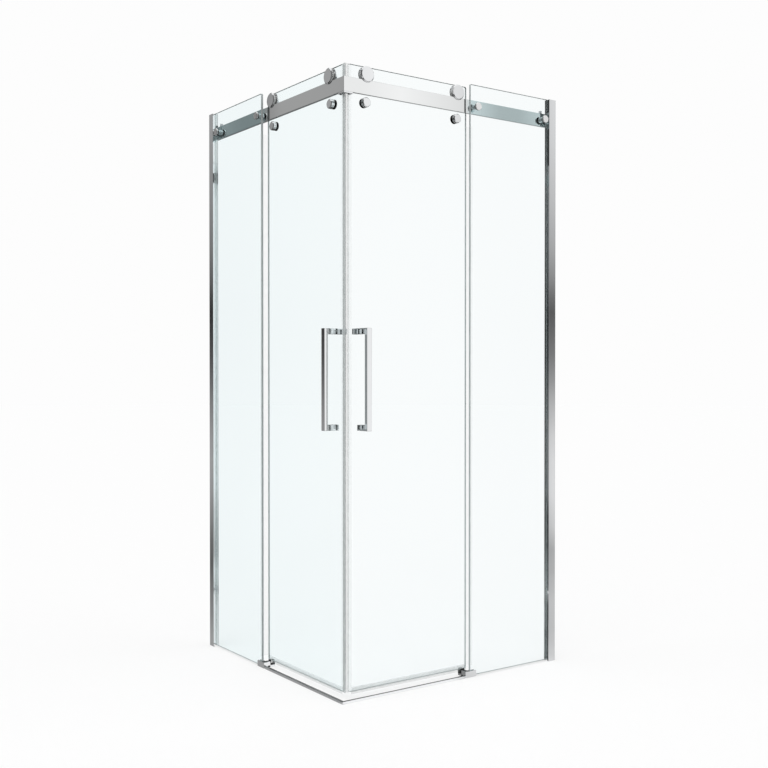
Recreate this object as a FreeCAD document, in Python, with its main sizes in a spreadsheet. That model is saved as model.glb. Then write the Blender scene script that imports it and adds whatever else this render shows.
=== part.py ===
import FreeCAD, Part
import Sketcher
import math
import os
import re

# Corner shower enclosure with two sliding doors, in millimetres.
# The right-hand wall runs along +X and the left-hand wall along +Y; +Z is up.
# A place on a wall is given as s (along the wall from the outer corner), p (inwards from
# the outer face of the fixed glass) and z (height). The left-hand wall mirrors the right.

doc = FreeCAD.newDocument("CornerShowerEnclosure")
sheet = doc.addObject("Spreadsheet::Sheet", "Sizes")

# Driving sizes as plain numbers, and sizes worked out from them as formulas
sizes = {
    # Overall sizes
    "wall_side": 880,
    "total_height": 1950,
    "glass_thick": 8,
    "handle_reach": 12.5,
    "centre_shift": "=(wall_side - handle_reach) / 2",
    # Wall profile and glazing gasket
    "profile_face": 30,
    "profile_proud": 8,
    "profile_wall": 2,
    "gasket_thick": 2,
    "gasket_inner": 6,
    "glass_in_profile": 17,
    "gasket_setback": 1,
    "profile_start": "=wall_side - profile_face",
    "profile_depth": "=profile_proud + glass_thick + gasket_inner + profile_wall",
    "wall_screw_radius": 2.75,
    "wall_screw_inset": 4,
    "wall_screw_low": 150,
    "wall_screw_pitch": "=(total_height - 2 * wall_screw_low) / 2",
    # Fixed glass panel
    "panel_free_edge": 502,
    "panel_end": "=profile_start + glass_in_profile",
    "panel_gap": 6,
    "panel_corner": 3,
    "strip_inset": 1,
    "strip_clear": 2,
    # Rail and its bolts through the fixed glass
    "rail_front": 16.5,
    "rail_thick": 10,
    "rail_height": 45,
    "rail_drop": 92,
    "rail_bottom": "=total_height - rail_drop",
    "rail_short_of_wall": 2,
    "rail_end": "=wall_side - rail_short_of_wall",
    "rail_top": "=rail_bottom + rail_height",
    "stop_from_wall": 50,
    "stop_at": "=wall_side - stop_from_wall",
    "stop_length": 6,
    "stop_rise": 9,
    "stop_peg_radius": 2.5,
    "stop_peg_length": 6,
    "bolt_from_free_edge": 31,
    "bolt_near": "=panel_free_edge + bolt_from_free_edge",
    "bolt_from_wall": 44,
    "bolt_far": "=wall_side - bolt_from_wall",
    "bolt_level": "=rail_bottom + rail_height / 2",
    "bolt_radius": 4,
    "bolt_hole_radius": 4.5,
    "bolt_bite": 8,
    "bolt_head_radius": 13,
    "bolt_head_thick": 6,
    "bolt_head_bevel": 1.5,
    "spacer_radius": 9,
    # Corner connector under the mitred rails
    "connector_leg": 33.5,
    "connector_thick": 5,
    "connector_screw_at": "=rail_front + connector_leg - rail_thick",
    "connector_screw_radius": 2.5,
    "connector_screw_bite": 10,
    "connector_head_radius": 4,
    "connector_head_thick": 3,
    # Sliding door glass
    "door_front": 29,
    "door_lead": 42,
    "door_overlap": 6,
    "door_trail": "=panel_free_edge + door_overlap",
    "door_bottom": 24,
    "door_top_drop": 3,
    "door_top": "=total_height - door_top_drop",
    "door_corner": 6,
    "door_back": "=door_front + glass_thick",
    # Rollers
    "roller_from_lead": 60,
    "roller_near": "=door_lead + roller_from_lead",
    "roller_from_trail": 46,
    "roller_far": "=door_trail - roller_from_trail",
    "wheel_radius": 17,
    "wheel_clear": 0.3,
    "roller_axis": "=rail_top + wheel_radius + wheel_clear",
    "bearing_radius": 11,
    "bearing_inset": 0.5,
    "bearing_fit": 0.04,
    "axle_radius": 6,
    "axle_end_radius": 4,
    "axle_bite": 2.5,
    "cap_radius": 25,
    "cap_thick": 4,
    "cap_bevel": 1.3,
    "cap_front": 11.7,
    "cap_back": "=cap_front + cap_thick",
    "back_disc_thick": 2,
    "roller_nut_radius": 10,
    "roller_nut_thick": 9,
    "nut_bevel": 1.5,
    "nut_crown": 1.5,
    "glass_hole_clear": 1,
    # Studs under the rail that keep the door from lifting off
    "stud_gap": 7.5,
    "stud_radius": 15,
    "stud_level": "=rail_bottom - stud_gap - stud_radius",
    "stud_front": "=rail_front",
    "stud_shank_radius": 3.5,
    "stud_nut_thick": 4,
    "stud_nut_crown": 1,
    "stud_bevel": 1,
    # Handle
    "handle_from_lead": 48.5,
    "handle_centre": "=door_lead + handle_from_lead",
    "handle_width": 18,
    "handle_bar_thick": 12.5,
    "handle_bottom": 825,
    "handle_length": 316,
    "handle_stud_radius": 4,
    "handle_stud_reach": 4.5,
    "handle_left": "=handle_centre - handle_width / 2",
    "handle_front": "=0 - handle_reach",
    "handle_post_front": "=handle_front + handle_bar_thick",
    "handle_post_low": "=handle_bottom + handle_width / 2",
    "handle_post_high": "=handle_bottom + handle_length - handle_width / 2",
    "knob_depth": 34,
    "handle_cap_depth": 6,
    # Door and panel seals
    "seal_wall": 1,
    "seal_grip": 10,
    "seal_meet_step": 0.4,
    "drip_grip": 12,
    "drip_web": 2.5,
    "drip_lip_thick": 2,
    "drip_lip_drop": 6.5,
    "overlap_wall": 0.8,
    "overlap_grip": 8,
    "overlap_bottom": 40,
    "overlap_top_clear": 8.5,
    "overlap_top": "=stud_level - stud_radius - overlap_top_clear",
    "fin_clear": 0.8,
    # Floor guide and sill
    "guide_overhang": 22,
    "guide_start": "=panel_free_edge - guide_overhang",
    "guide_length": 45,
    "guide_bottom": 2,
    "guide_top": 22,
    "guide_wall": 4,
    "guide_floor": 4,
    "arm_offset": 4,
    "arm_start": "=guide_start + arm_offset",
    "arm_width": 14,
    "arm_thick": 7,
    "shoe_front": 24,
    "shoe_depth": 18,
    "shoe_top": 26,
    "shoe_floor": 3,
    "shoe_clear": 0.6,
    "sill_width": 10,
    "sill_height": 8,
}

for row, (name, value) in enumerate(sizes.items(), start=1):
    sheet.set(f"A{row}", name)
    sheet.set(f"B{row}", str(value))
    sheet.setAlias(f"B{row}", name)
sheet.recompute()

ALONG_X = FreeCAD.Rotation(FreeCAD.Vector(0, 1, 0), 90)
INWARDS = FreeCAD.Rotation(FreeCAD.Vector(1, 0, 0), -90)
UPRIGHT = FreeCAD.Rotation()

right_nodes = []
shared_nodes = []


def formula(text):
    """Turn plain size names into references to cells of the sheet."""
    return re.sub(r"[a-z_]+", lambda word: f"Sizes.{word.group()}", str(text))


def bind(obj, **formulas):
    for prop, text in formulas.items():
        obj.setExpression(prop, formula(text))


def place(obj, s, p, z, rotation=UPRIGHT):
    """Put an object's own zero point at a place on the right-hand wall."""
    obj.Placement = FreeCAD.Placement(FreeCAD.Vector(), rotation)
    obj.setExpression("Placement.Base.x", formula(f"({s}) - centre_shift"))
    obj.setExpression("Placement.Base.y", formula(f"({p}) - centre_shift"))
    obj.setExpression("Placement.Base.z", formula(z))


def box(name, s, p, z, along, inwards, up):
    obj = doc.addObject("Part::Box", name)
    bind(obj, Length=along, Width=inwards, Height=up)
    place(obj, s, p, z)
    return obj


def rod(name, s, p, z, radius, length, rotation=INWARDS):
    obj = doc.addObject("Part::Cylinder", name)
    bind(obj, Radius=radius, Height=length)
    place(obj, s, p, z, rotation)
    return obj


def taper(name, s, p, z, first_radius, last_radius, length):
    obj = doc.addObject("Part::Cone", name)
    bind(obj, Radius1=first_radius, Radius2=last_radius, Height=length)
    place(obj, s, p, z, INWARDS)
    return obj


def join(name, *pieces):
    obj = doc.addObject("Part::MultiFuse", name)
    obj.Shapes = list(pieces)
    obj.Refine = True
    return obj


def cut(name, base, *tools):
    obj = doc.addObject("Part::Cut", name)
    obj.Base = base
    obj.Tool = tools[0] if len(tools) == 1 else join(f"{name}_tools", *tools)
    obj.Refine = True
    return obj


def group(name, *pieces):
    obj = doc.addObject("Part::Compound", name)
    obj.Links = list(pieces)
    return obj


def section(name, plane, corners, length, s="0", z="0"):
    """A body padded from an outline whose every corner is bound to the sheet.

    On the plane XY_Plane a corner is (s, p) and the pad rises; on YZ_Plane it is (p, z) and
    the pad runs along the wall.
    """
    body = doc.addObject("PartDesign::Body", name)
    place(body, s, 0, z)
    outline = body.newObject("Sketcher::SketchObject", f"{name}_outline")
    support = [feature for feature in body.Origin.OriginFeatures if feature.Role == plane]
    outline.AttachmentSupport = [(support[0], "")]
    outline.MapMode = "FlatFace"
    count = len(corners)
    turns = [2 * math.pi * index / count for index in range(count)]
    ring = [FreeCAD.Vector(math.cos(turn), math.sin(turn), 0) for turn in turns]
    for index in range(count):
        outline.addGeometry(Part.LineSegment(ring[index], ring[(index + 1) % count]))
    for index in range(count):
        outline.addConstraint(Sketcher.Constraint("Coincident", index, 2, (index + 1) % count, 1))
    for index, corner in enumerate(corners):
        for direction, text in zip(("DistanceX", "DistanceY"), corner):
            number = outline.addConstraint(Sketcher.Constraint(direction, -1, 1, index, 1, 0.5))
            outline.setExpression(f"Constraints[{number}]", formula(text))
    pad = body.newObject("PartDesign::Pad", f"{name}_pad")
    pad.Profile = outline
    bind(pad, Length=length)
    return body


def rounded_plate(name, s, p, z, along, up, radius):
    """A glass plate whose four corners are rounded."""
    tall = box(f"{name}_tall", f"{s} + {radius}", p, z, f"{along} - 2 * {radius}", "glass_thick", up)
    wide = box(f"{name}_wide", s, p, f"{z} + {radius}", along, "glass_thick", f"{up} - 2 * {radius}")
    corners = []
    for side, corner_s in (("lead", f"{s} + {radius}"), ("trail", f"{s} + {along} - {radius}")):
        for level, corner_z in (("low", f"{z} + {radius}"), ("high", f"{z} + {up} - {radius}")):
            corner = rod(f"{name}_{side}_{level}", corner_s, p, corner_z, radius, "glass_thick")
            corners.append(corner)
    return join(f"{name}_plate", tall, wide, *corners)


def bevelled_disc(name, s, p, z, radius, thick, bevel, bevel_first=True):
    """A disc facing inwards or outwards whose shown rim is bevelled."""
    if bevel_first:
        rim = taper(f"{name}_rim", s, p, z, f"{radius} - {bevel}", radius, bevel)
        body = rod(f"{name}_body", s, f"{p} + {bevel}", z, radius, f"{thick} - {bevel}")
    else:
        body = rod(f"{name}_body", s, p, z, radius, f"{thick} - {bevel}")
        rim = taper(f"{name}_rim", s, f"{p} + {thick} - {bevel}", z, radius, f"{radius} - {bevel}", bevel)
    return join(name, body, rim)


def right_node(obj, name):
    obj.Label = f"right_{name}"
    right_nodes.append((obj, name))


def shared_node(obj, name):
    obj.Label = name
    shared_nodes.append(obj)


def wall_profile():
    """A C-shaped extrusion whose web is screwed to the room's wall."""
    front = "0 - profile_proud"
    back = "profile_depth - profile_proud"
    inner_s = "wall_side - profile_wall"
    lip_s = "profile_start + profile_wall"
    lip_p = "0 - gasket_thick"
    corners = [("profile_start", front), ("wall_side", front), ("wall_side", back), ("profile_start", back),
               ("profile_start", f"{back} - profile_wall"), (inner_s, f"{back} - profile_wall"),
               (inner_s, f"{front} + profile_wall"), (lip_s, f"{front} + profile_wall"),
               (lip_s, lip_p), ("profile_start", lip_p)]
    channel = section("profile_channel", "XY_Plane", corners, "total_height")
    holes = []
    for index in range(3):
        level = f"wall_screw_low + {index} * wall_screw_pitch"
        hole = rod(f"profile_screw_hole_{index}", inner_s, "wall_screw_inset", level,
                   "wall_screw_radius", "profile_wall", ALONG_X)
        holes.append(hole)
    right_node(cut("profile", channel, *holes), "wall_profile")


def glazing_gasket():
    """A U-shaped strip that holds the fixed glass in the profile."""
    mouth = "profile_start + gasket_setback"
    end = "panel_end + gasket_thick"
    back = "glass_thick + gasket_inner"
    corners = [(mouth, "0 - gasket_thick"), (end, "0 - gasket_thick"), (end, back), (mouth, back),
               (mouth, "glass_thick"), ("panel_end", "glass_thick"), ("panel_end", "0"), (mouth, "0")]
    gasket = section("gasket", "XY_Plane", corners, "total_height - panel_gap", z="panel_gap")
    right_node(gasket, "glazing_gasket")


def fixed_glass():
    plate = rounded_plate("panel", "panel_free_edge", 0, "panel_gap",
                          "(panel_end - panel_free_edge)", "(total_height - panel_gap)", "panel_corner")
    holes = []
    for place_name in ("near", "far"):
        hole = rod(f"panel_bolt_hole_{place_name}", f"bolt_{place_name}", 0, "bolt_level",
                   "bolt_hole_radius", "glass_thick")
        holes.append(hole)
    right_node(cut("panel", plate, *holes), "fixed_glass")
    strip = box("setting_strip", "guide_start + guide_length + strip_clear", "strip_inset", 0,
                "profile_start - strip_clear - guide_start - guide_length - strip_clear",
                "glass_thick - 2 * strip_inset", "panel_gap")
    right_node(strip, "setting_strip")


def rail():
    """A flat bar mitred at the corner, with threads for its bolts."""
    back = "rail_front + rail_thick"
    corners = [("rail_front", "rail_front"), ("rail_end", "rail_front"), ("rail_end", back), (back, back)]
    bar = section("rail_bar", "XY_Plane", corners, "rail_height", z="rail_bottom")
    tools = []
    for place_name in ("near", "far"):
        thread = rod(f"rail_thread_{place_name}", f"bolt_{place_name}", "rail_front", "bolt_level",
                     "bolt_radius", "bolt_bite")
        tools.append(thread)
    peg_hole = rod("rail_peg_hole", "stop_at + stop_length / 2", "rail_front + rail_thick / 2",
                   "rail_top - stop_peg_length", "stop_peg_radius", "stop_peg_length", UPRIGHT)
    screw_hole = rod("rail_screw_hole", "connector_screw_at", "rail_front + rail_thick / 2", "rail_bottom",
                     "connector_screw_radius", "connector_screw_bite", UPRIGHT)
    right_node(cut("rail", bar, *tools, peg_hole, screw_hole), "rail")


def rail_stop():
    """A block on the rail that stops the far wheel, held by a peg."""
    block = box("stop_block", "stop_at", "rail_front", "rail_top", "stop_length", "rail_thick", "stop_rise")
    peg = rod("stop_peg", "stop_at + stop_length / 2", "rail_front + rail_thick / 2",
              "rail_top - stop_peg_length", "stop_peg_radius", "stop_peg_length", UPRIGHT)
    right_node(join("stop", block, peg), "rail_stop")


def rail_bolts():
    bolts = []
    spacers = []
    for place_name in ("near", "far"):
        at = f"bolt_{place_name}"
        head = bevelled_disc(f"bolt_head_{place_name}", at, "0 - bolt_head_thick", "bolt_level",
                             "bolt_head_radius", "bolt_head_thick", "bolt_head_bevel")
        shank = rod(f"bolt_shank_{place_name}", at, 0, "bolt_level", "bolt_radius", "rail_front + bolt_bite")
        bolts.append(join(f"rail_bolt_{place_name}", head, shank))
        ring = rod(f"spacer_ring_{place_name}", at, "glass_thick", "bolt_level",
                   "spacer_radius", "rail_front - glass_thick")
        bore = rod(f"spacer_bore_{place_name}", at, "glass_thick", "bolt_level",
                   "bolt_hole_radius", "rail_front - glass_thick")
        spacers.append(cut(f"rail_spacer_{place_name}", ring, bore))
    right_node(group("rail_bolt_pair", *bolts), "rail_bolts")
    right_node(group("rail_spacer_pair", *spacers), "rail_spacers")


def corner_connector():
    """An L-shaped plate under the mitre, with one screw up into each rail."""
    under = "rail_bottom - connector_thick"
    middle = "rail_front + rail_thick / 2"
    screw_at = "connector_screw_at"
    legs = [box("connector_right_leg", "rail_front", "rail_front", under,
                "connector_leg", "rail_thick", "connector_thick"),
            box("connector_left_leg", "rail_front", "rail_front", under,
                "rail_thick", "connector_leg", "connector_thick")]
    holes = []
    screws = []
    for side, s, p in (("right", screw_at, middle), ("left", middle, screw_at)):
        hole = rod(f"connector_hole_{side}", s, p, under,
                   "connector_screw_radius", "connector_thick", UPRIGHT)
        holes.append(hole)
        head = rod(f"connector_head_{side}", s, p, f"{under} - connector_head_thick",
                   "connector_head_radius", "connector_head_thick", UPRIGHT)
        shank = rod(f"connector_shank_{side}", s, p, under,
                    "connector_screw_radius", "connector_thick + connector_screw_bite", UPRIGHT)
        screws.append(join(f"connector_screw_{side}", head, shank))
    shared_node(cut("connector", join("connector_plate", *legs), *holes), "corner_connector")
    shared_node(group("connector_screw_pair", *screws), "connector_screws")


def door_glass():
    plate = rounded_plate("door", "door_lead", "door_front", "door_bottom",
                          "(door_trail - door_lead)", "(door_top - door_bottom)", "door_corner")
    holes = []
    for place_name in ("near", "far"):
        at = f"roller_{place_name}"
        holes.append(rod(f"door_roller_hole_{place_name}", at, "door_front", "roller_axis",
                         "axle_end_radius + glass_hole_clear", "glass_thick"))
        holes.append(rod(f"door_stud_hole_{place_name}", at, "door_front", "stud_level",
                         "stud_shank_radius + glass_hole_clear", "glass_thick"))
    for level in ("low", "high"):
        holes.append(rod(f"door_handle_hole_{level}", "handle_centre", "door_front", f"handle_post_{level}",
                         "handle_stud_radius + glass_hole_clear", "glass_thick"))
    right_node(cut("door", plate, *holes), "door_glass")


def rollers():
    caps = []
    axles = []
    back_discs = []
    nuts = []
    for place_name in ("near", "far"):
        at = f"roller_{place_name}"
        disc = bevelled_disc(f"cap_disc_{place_name}", at, "cap_front", "roller_axis",
                             "cap_radius", "cap_thick", "cap_bevel")
        socket = rod(f"cap_socket_{place_name}", at, "cap_back - axle_bite", "roller_axis",
                     "axle_end_radius", "axle_bite")
        caps.append(cut(f"roller_cap_{place_name}", disc, socket))
        tip = rod(f"axle_tip_{place_name}", at, "cap_back - axle_bite", "roller_axis",
                  "axle_end_radius", "axle_bite")
        shaft = rod(f"axle_shaft_{place_name}", at, "cap_back", "roller_axis",
                    "axle_radius", "door_front - cap_back")
        tail = rod(f"axle_tail_{place_name}", at, "door_front", "roller_axis",
                   "axle_end_radius", "glass_thick + roller_nut_thick - nut_crown")
        axles.append(join(f"roller_axle_{place_name}", tip, shaft, tail))
        plate = rod(f"back_plate_{place_name}", at, "door_front - back_disc_thick", "roller_axis",
                    "cap_radius", "back_disc_thick")
        bore = rod(f"back_bore_{place_name}", at, "door_front - back_disc_thick", "roller_axis",
                   "axle_radius", "back_disc_thick")
        back_discs.append(cut(f"back_disc_{place_name}", plate, bore))
        dome = bevelled_disc(f"nut_dome_{place_name}", at, "door_back", "roller_axis",
                             "roller_nut_radius", "roller_nut_thick", "nut_bevel", False)
        thread = rod(f"nut_thread_{place_name}", at, "door_back", "roller_axis",
                     "axle_end_radius", "roller_nut_thick - nut_crown")
        nuts.append(cut(f"roller_nut_{place_name}", dome, thread))
    right_node(group("roller_cap_pair", *caps), "roller_caps")
    right_node(group("roller_axle_pair", *axles), "roller_axles")
    right_node(group("back_disc_pair", *back_discs), "roller_back_discs")
    right_node(group("roller_nut_pair", *nuts), "roller_nuts")


def wheels():
    """A tyre on a bearing sleeve; each wheel turns on its own axle."""
    for place_name in ("near", "far"):
        at = f"roller_{place_name}"
        tread = rod(f"tyre_tread_{place_name}", at, "rail_front", "roller_axis", "wheel_radius", "rail_thick")
        seat = rod(f"tyre_seat_{place_name}", at, "rail_front", "roller_axis", "bearing_radius", "rail_thick")
        right_node(cut(f"tyre_{place_name}", tread, seat), f"{place_name}_wheel_tyre")
        sleeve = rod(f"bearing_sleeve_{place_name}", at, "rail_front + bearing_inset", "roller_axis",
                     "bearing_radius", "rail_thick - 2 * bearing_inset")
        bore = rod(f"bearing_bore_{place_name}", at, "rail_front", "roller_axis",
                   "axle_radius + bearing_fit", "rail_thick")
        right_node(cut(f"bearing_{place_name}", sleeve, bore), f"{place_name}_wheel_bearing")


def anti_lift_studs():
    studs = []
    nuts = []
    for place_name in ("near", "far"):
        at = f"roller_{place_name}"
        body = bevelled_disc(f"stud_body_{place_name}", at, "stud_front", "stud_level",
                             "stud_radius", "(door_front - stud_front)", "stud_bevel")
        shank = rod(f"stud_shank_{place_name}", at, "door_front", "stud_level",
                    "stud_shank_radius", "glass_thick + stud_nut_thick - stud_nut_crown")
        studs.append(join(f"stud_{place_name}", body, shank))
        ring = rod(f"stud_ring_{place_name}", at, "door_back", "stud_level", "stud_radius", "stud_nut_thick")
        thread = rod(f"stud_thread_{place_name}", at, "door_back", "stud_level",
                     "stud_shank_radius", "stud_nut_thick - stud_nut_crown")
        nuts.append(cut(f"stud_nut_{place_name}", ring, thread))
    right_node(group("stud_pair", *studs), "anti_lift_studs")
    right_node(group("stud_nut_pair", *nuts), "stud_nuts")


def handle():
    bar = box("handle_bar", "handle_left", "handle_front", "handle_bottom",
              "handle_width", "handle_bar_thick", "handle_length")
    right_node(bar, "handle_bar")
    posts = []
    for level in ("low", "high"):
        bottom = f"handle_post_{level} - handle_width / 2"
        arm = box(f"handle_arm_{level}", "handle_left", "handle_post_front", bottom,
                  "handle_width", "door_front - handle_post_front", "handle_width")
        stud = rod(f"handle_stud_{level}", "handle_centre", "door_front", f"handle_post_{level}",
                   "handle_stud_radius", "glass_thick + handle_stud_reach")
        posts.append(join(f"handle_post_{level}", arm, stud))
    right_node(group("handle_post_pair", *posts), "handle_posts")
    inner_ends = (("high", "knob_depth", "inner_knob"), ("low", "handle_cap_depth", "handle_cap"))
    for level, depth, name in inner_ends:
        block = box(f"{name}_block", "handle_left", "door_back", f"handle_post_{level} - handle_width / 2",
                    "handle_width", depth, "handle_width")
        thread = rod(f"{name}_thread", "handle_centre", "door_back", f"handle_post_{level}",
                     "handle_stud_radius", "handle_stud_reach")
        right_node(cut(name, block, thread), name)


def leading_edge_seal():
    """A sleeve on the door's leading edge with a slanted head that meets the other door's head."""
    outer = "door_front - seal_wall"
    inner = "door_back + seal_wall"
    grip = "door_lead + seal_grip"
    corners = [(f"{outer} + seal_meet_step", outer), (grip, outer), (grip, "door_front"),
               ("door_lead", "door_front"), ("door_lead", "door_back"), (grip, "door_back"),
               (grip, inner), (f"{inner} + seal_meet_step", inner)]
    seal = section("lead_seal", "XY_Plane", corners, "door_top - door_bottom", z="door_bottom")
    right_node(seal, "leading_edge_seal")


def bottom_seal():
    """A sleeve on the door's lower edge with a lip that sheds the water."""
    outer = "door_front - seal_wall"
    inner = "door_back + seal_wall"
    top = "door_bottom + drip_grip"
    web = "door_bottom - drip_web"
    tip = "door_bottom - drip_web - drip_lip_drop"
    lip_outer = "(door_front + door_back - drip_lip_thick) / 2"
    lip_inner = "(door_front + door_back + drip_lip_thick) / 2"
    corners = [(outer, top), (outer, web), (lip_outer, web), (lip_outer, tip), (lip_inner, tip),
               (lip_inner, web), (inner, web), (inner, top), ("door_back", top),
               ("door_back", "door_bottom"), ("door_front", "door_bottom"), ("door_front", top)]
    start = "door_lead + seal_grip + seal_wall"
    seal = section("drip_seal", "YZ_Plane", corners, f"door_trail - ({start})", s=start)
    right_node(seal, "bottom_seal")


def overlap_seal():
    """A sleeve on the fixed glass's free edge with a fin that closes the gap to the door."""
    edge = "panel_free_edge - overlap_wall"
    grip = "panel_free_edge + overlap_grip"
    inner = "glass_thick + overlap_wall"
    tip = "door_front - fin_clear"
    corners = [(edge, "0 - overlap_wall"), (grip, "0 - overlap_wall"), (grip, "0"), ("panel_free_edge", "0"),
               ("panel_free_edge", "glass_thick"), (grip, "glass_thick"), (grip, inner),
               ("panel_free_edge", inner), ("panel_free_edge", tip), (edge, tip)]
    seal = section("overlap", "XY_Plane", corners, "overlap_top - overlap_bottom", z="overlap_bottom")
    right_node(seal, "overlap_seal")


def floor_guide():
    """A clamp on the fixed glass's lower corner whose neck and arm carry a shoe round the door's edge."""
    front = "0 - guide_wall"
    block = box("guide_block", "guide_start", front, "guide_bottom", "guide_length",
                "glass_thick + 2 * guide_wall", "guide_top - guide_bottom")
    slot = box("guide_slot", "panel_free_edge", 0, "guide_bottom + guide_floor",
               "guide_length", "glass_thick", "guide_top - guide_bottom")
    arm = box("guide_arm", "arm_start", 0, "guide_bottom",
              "arm_width", "shoe_front + shoe_depth", "arm_thick")
    neck = box("guide_neck", "arm_start", 0, "guide_bottom",
               "arm_width", "shoe_front", "guide_top - guide_bottom")
    clamp = cut("guide_clamp", join("guide_outline", block, arm, neck), slot)
    right_node(clamp, "guide_clamp")
    bottom = "guide_bottom + arm_thick"
    floor = "guide_bottom + arm_thick + shoe_floor"
    back = "shoe_front + shoe_depth"
    near_wall = "door_front - seal_wall - shoe_clear"
    far_wall = "door_back + seal_wall + shoe_clear"
    corners = [("shoe_front", bottom), (back, bottom), (back, "shoe_top"), (far_wall, "shoe_top"),
               (far_wall, floor), (near_wall, floor), (near_wall, "shoe_top"), ("shoe_front", "shoe_top")]
    shoe = section("shoe", "YZ_Plane", corners, "arm_width", s="arm_start")
    right_node(shoe, "guide_shoe")


def sill():
    """A low flat strip on the floor, mitred at the corner."""
    corners = [("0", "0"), ("guide_start", "0"), ("guide_start", "sill_width"), ("sill_width", "sill_width")]
    right_node(section("sill_strip", "XY_Plane", corners, "sill_height"), "sill")


def mirrored(obj, name):
    """The same piece on the left-hand wall."""
    twin = doc.addObject("Part::Mirroring", f"left_{name}")
    twin.Source = obj
    twin.Base = FreeCAD.Vector(0, 0, 0)
    twin.Normal = FreeCAD.Vector(1, -1, 0)
    twin.Label = f"left_{name}"
    return twin


wall_profile()
glazing_gasket()
fixed_glass()
rail()
rail_stop()
rail_bolts()
corner_connector()
door_glass()
rollers()
wheels()
anti_lift_studs()
handle()
leading_edge_seal()
bottom_seal()
overlap_seal()
floor_guide()
sill()
left_nodes = [mirrored(obj, name) for obj, name in right_nodes]
nodes = [obj for obj, name in right_nodes] + left_nodes + shared_nodes

doc.recompute()

for obj in doc.Objects:
    if "Invalid" in obj.State or "Error" in obj.State:
        raise RuntimeError(f"{obj.Label} does not compute: {obj.State}")
for obj in nodes:
    if obj.Shape.isNull() or not obj.Shape.isValid() or not obj.Shape.Solids:
        raise RuntimeError(f"{obj.Label} has no valid solid")

os.makedirs("parts", exist_ok=True)
for obj in nodes:
    obj.Shape.exportStep(f"parts/{obj.Label}.step")
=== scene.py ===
import bmesh
import bpy
import math
from bpy.props import FloatProperty, FloatVectorProperty, IntProperty, PointerProperty
from mathutils import Matrix, Vector


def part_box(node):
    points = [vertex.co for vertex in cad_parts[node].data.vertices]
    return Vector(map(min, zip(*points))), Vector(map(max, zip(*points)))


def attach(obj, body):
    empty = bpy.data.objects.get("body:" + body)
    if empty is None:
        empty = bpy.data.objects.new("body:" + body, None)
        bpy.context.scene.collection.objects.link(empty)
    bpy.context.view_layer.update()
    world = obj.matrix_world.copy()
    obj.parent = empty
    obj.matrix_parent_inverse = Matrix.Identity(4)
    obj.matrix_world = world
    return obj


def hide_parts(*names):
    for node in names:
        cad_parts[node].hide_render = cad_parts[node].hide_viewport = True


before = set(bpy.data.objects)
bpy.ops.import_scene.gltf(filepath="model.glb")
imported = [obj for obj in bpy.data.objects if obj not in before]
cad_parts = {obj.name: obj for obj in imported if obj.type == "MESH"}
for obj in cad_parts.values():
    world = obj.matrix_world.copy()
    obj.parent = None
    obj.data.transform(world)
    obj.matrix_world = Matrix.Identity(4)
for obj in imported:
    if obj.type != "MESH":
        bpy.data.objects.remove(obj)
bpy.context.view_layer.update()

bl_info = {
    "name": "Corner Shower Enclosure",
    "version": (1, 0, 0),
    "blender": (4, 5, 0),
    "location": "View3D > Sidebar > Shower",
    "description": "Glass, chrome and seals of a corner shower enclosure with two sliding doors",
    "category": "Object",
}

# The left-hand wall is the right-hand wall with X and Y exchanged, so pieces are shaped on the right
WALLS = {
    "right": Matrix.Identity(4),
    "left": Matrix(((0, 1, 0, 0), (1, 0, 0, 0), (0, 0, 1, 0), (0, 0, 0, 1))),
}
# A quarter turn that stands plates up, and with them the screws under the rails
UPRIGHT = Matrix.Rotation(math.pi / 2, 4, "X")
SHARP_ANGLE = math.radians(6)
MERGE_DISTANCE = 1e-7
HOLE_STEPS = 36
CORNER_STEPS = 5


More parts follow.
